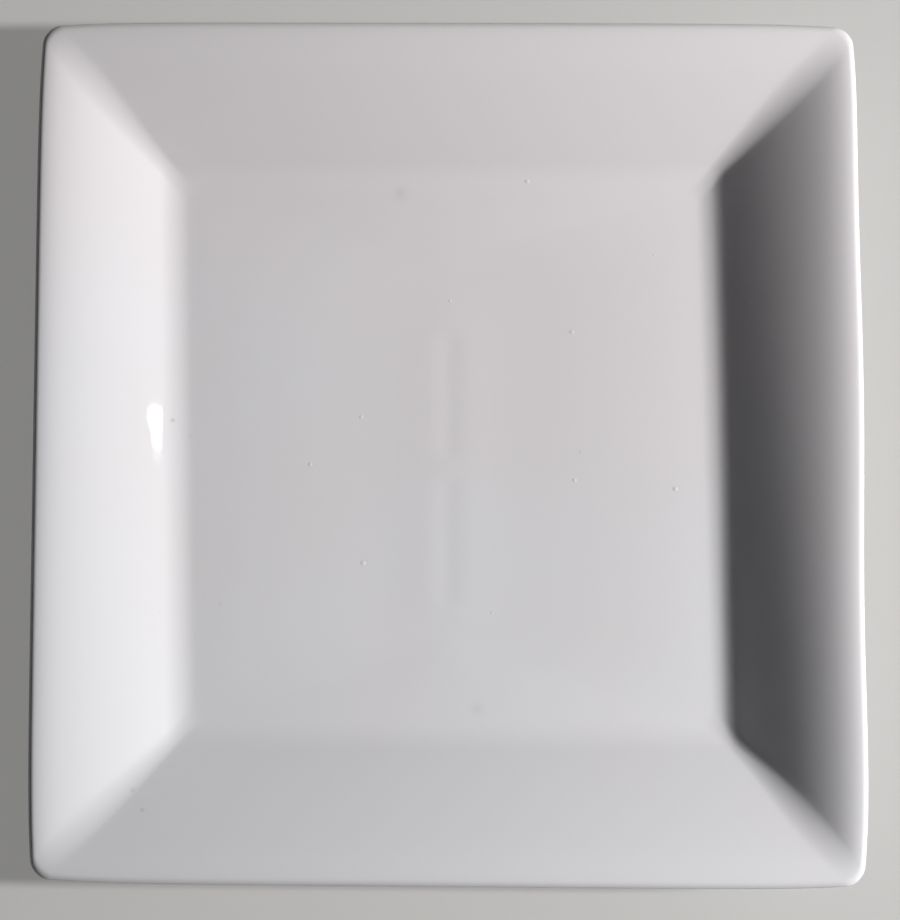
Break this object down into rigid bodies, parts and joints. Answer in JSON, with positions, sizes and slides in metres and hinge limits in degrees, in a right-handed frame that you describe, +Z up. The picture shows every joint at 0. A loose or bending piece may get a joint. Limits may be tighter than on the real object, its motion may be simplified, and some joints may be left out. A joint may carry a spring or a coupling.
{
  "type": "square dinner plate",
  "caption": "Square porcelain dinner plate with a flat square well, flared mitred walls, a rounded rim, a square foot ring and clear glaze over all but the foot's bare band.",
  "frame": {"origin": "on the table, under the middle of the well", "axes": "+Z up out of the well, +X towards the side edge on the right of the picture, +Y towards its top edge"},
  "size_m": [0.2631, 0.273, 0.029],
  "materials": {
    "biscuit": "matte",
    "glaze": "gloss",
    "base_glaze": "gloss"
  },
  "bodies": {
    "root": {"porcelain_body": "biscuit", "glaze_coat": "glaze", "base_glaze": "base_glaze"}
  },
  "joints": []
}
